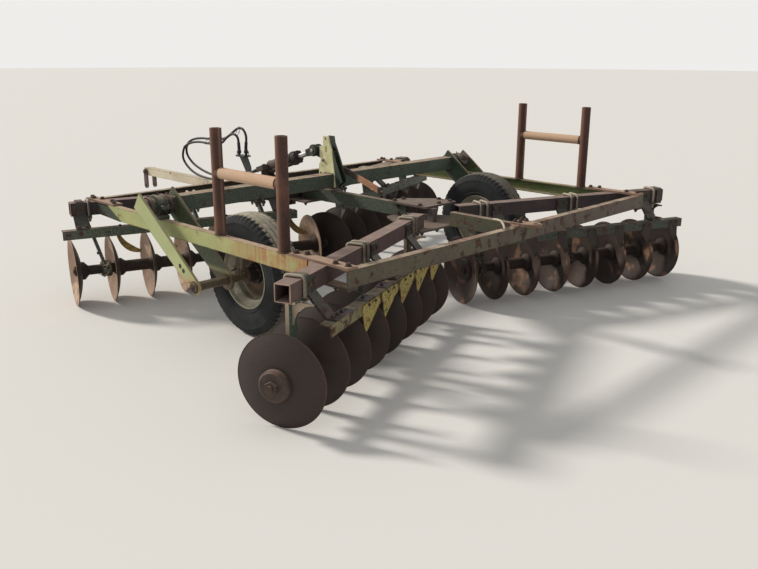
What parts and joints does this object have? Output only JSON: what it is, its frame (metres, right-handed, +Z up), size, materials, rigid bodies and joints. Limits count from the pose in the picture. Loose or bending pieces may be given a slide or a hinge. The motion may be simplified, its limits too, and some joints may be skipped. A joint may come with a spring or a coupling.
{
  "type": "disc harrow",
  "caption": "Tandem disc harrow: gangs of dished discs under a channel frame, with a rockshaft, transport wheels, a hydraulic ram and a drawbar.",
  "frame": {"origin": "centre of the bounding box in plan, at the ground under the discs", "axes": "+Y towards the drawbar and the tractor, +X to the right seen from behind, +Z up"},
  "size_m": [3.6144, 4.1838, 1.184],
  "materials": {
    "green_paint": "faded light green paint, rubbed and rusted at its edges",
    "dark_green": "dark green paint, dull and oily",
    "yellow_paint": "yellow paint, half gone to rust",
    "cream_paint": "cream paint with rust at the edges",
    "rust_brown": "even brown rust",
    "rust_orange": "orange rust",
    "dark_rust": "dark brown rust",
    "disc_rust": "worn steel under brown rust",
    "black_iron": "black oily iron",
    "bright_steel": "bright ground rod",
    "tyre": "dusty, weathered",
    "hose_rubber": "black hose rubber"
  },
  "bodies": {
    "frame": {"side_rail_left": "green_paint", "side_rail_right": "green_paint", "front_beam": "green_paint", "rear_beam": "green_paint", "centre_rail_front": "green_paint", "centre_rail_rear": "green_paint", "corner_straps": "rust_brown", "corner_braces": "dark_green", "centre_plates": "rust_brown", "rockshaft_bearings": "dark_green", "rear_hitch": "rust_brown", "ram_bracket": "rust_brown", "gang_tube_front_left": "rust_brown", "gang_tube_front_right": "rust_brown", "gang_tube_rear_left": "rust_brown", "gang_tube_rear_right": "rust_brown", "standards_front_left": "green_paint", "standards_front_right": "green_paint", "standards_rear_left": "green_paint", "standards_rear_right": "green_paint", "scraper_bar_front_left": "green_paint", "scraper_bar_front_right": "green_paint", "scraper_bar_rear_left": "yellow_paint", "scraper_bar_rear_right": "green_paint", "bar_brackets": "dark_green", "scrapers": "yellow_paint", "rack_left": "dark_rust", "rack_right": "dark_rust", "drawbar": "cream_paint", "hose_holder": "black_iron", "hose_couplers": "rust_orange", "hose_long": "hose_rubber", "hose_short": "hose_rubber"},
    "rockshaft": {"rockshaft": "dark_green", "wheel_arms_left": "green_paint", "wheel_arms_right": "green_paint", "mast": "green_paint", "lock_bar": "rust_orange"},
    "wheel_left": {"tyre_left": "tyre", "rim_left": "cream_paint"},
    "wheel_right": {"tyre_right": "tyre", "rim_right": "cream_paint"},
    "ram_barrel": {"ram_barrel": "rust_brown"},
    "ram_rod": {"ram_rod": "bright_steel"},
    "hitch_clevis": {"hitch_clevis": "dark_rust"},
    "gang_front_left": {"discs_front_left": "disc_rust", "axle_front_left": "black_iron"},
    "gang_front_right": {"discs_front_right": "disc_rust", "axle_front_right": "black_iron"},
    "gang_rear_left": {"discs_rear_left": "disc_rust", "axle_rear_left": "black_iron"},
    "gang_rear_right": {"discs_rear_right": "disc_rust", "axle_rear_right": "black_iron"}
  },
  "joints": [
    {"name": "gang_front_left_spin", "type": "hinge", "parent": "frame", "child": "gang_front_left", "pos_m": [-1.543, 0.37499, 0.216], "axis": [0.9511, -0.309, 0], "continuous": true},
    {"name": "gang_front_right_spin", "type": "hinge", "parent": "frame", "child": "gang_front_right", "pos_m": [1.663, 0.37499, 0.216], "axis": [-0.9511, -0.309, 0], "continuous": true},
    {"name": "gang_rear_left_spin", "type": "hinge", "parent": "frame", "child": "gang_rear_left", "pos_m": [-1.705, -1.89101, 0.216], "axis": [0.9304, 0.3665, 0], "continuous": true},
    {"name": "gang_rear_right_spin", "type": "hinge", "parent": "frame", "child": "gang_rear_right", "pos_m": [1.705, -1.89101, 0.216], "axis": [-0.9304, 0.3665, 0], "continuous": true},
    {"name": "rockshaft_lift", "type": "hinge", "parent": "frame", "child": "rockshaft", "pos_m": [0, -0.34301, 0.707], "axis": [1, 0, 0], "range_deg": [-10, 30]},
    {"name": "wheel_left_spin", "type": "hinge", "parent": "rockshaft", "child": "wheel_left", "pos_m": [-1.05, -0.83801, 0.35], "axis": [1, 0, 0], "continuous": true},
    {"name": "wheel_right_spin", "type": "hinge", "parent": "rockshaft", "child": "wheel_right", "pos_m": [1.05, -0.83801, 0.35], "axis": [1, 0, 0], "continuous": true},
    {"name": "ram_swing", "type": "hinge", "parent": "frame", "child": "ram_barrel", "pos_m": [0, 0.36199, 0.712], "axis": [1, 0, 0], "range_deg": [-4, 4]},
    {"name": "ram_stroke", "type": "slide", "parent": "ram_barrel", "child": "ram_rod", "axis": [0, -0.949, 0.3152], "range_m": [-0.0447, 0.1262]},
    {"name": "hitch_swing", "type": "hinge", "parent": "frame", "child": "hitch_clevis", "pos_m": [0, 2.06199, 0.51], "axis": [1, 0, 0], "range_deg": [-30, 90]}
  ],
  "couplings": [
    {"joint": "ram_swing", "follows": "rockshaft_lift", "ratio": -0.0771},
    {"joint": "ram_stroke", "follows": "rockshaft_lift", "m_per_rad": 0.2334}
  ]
}
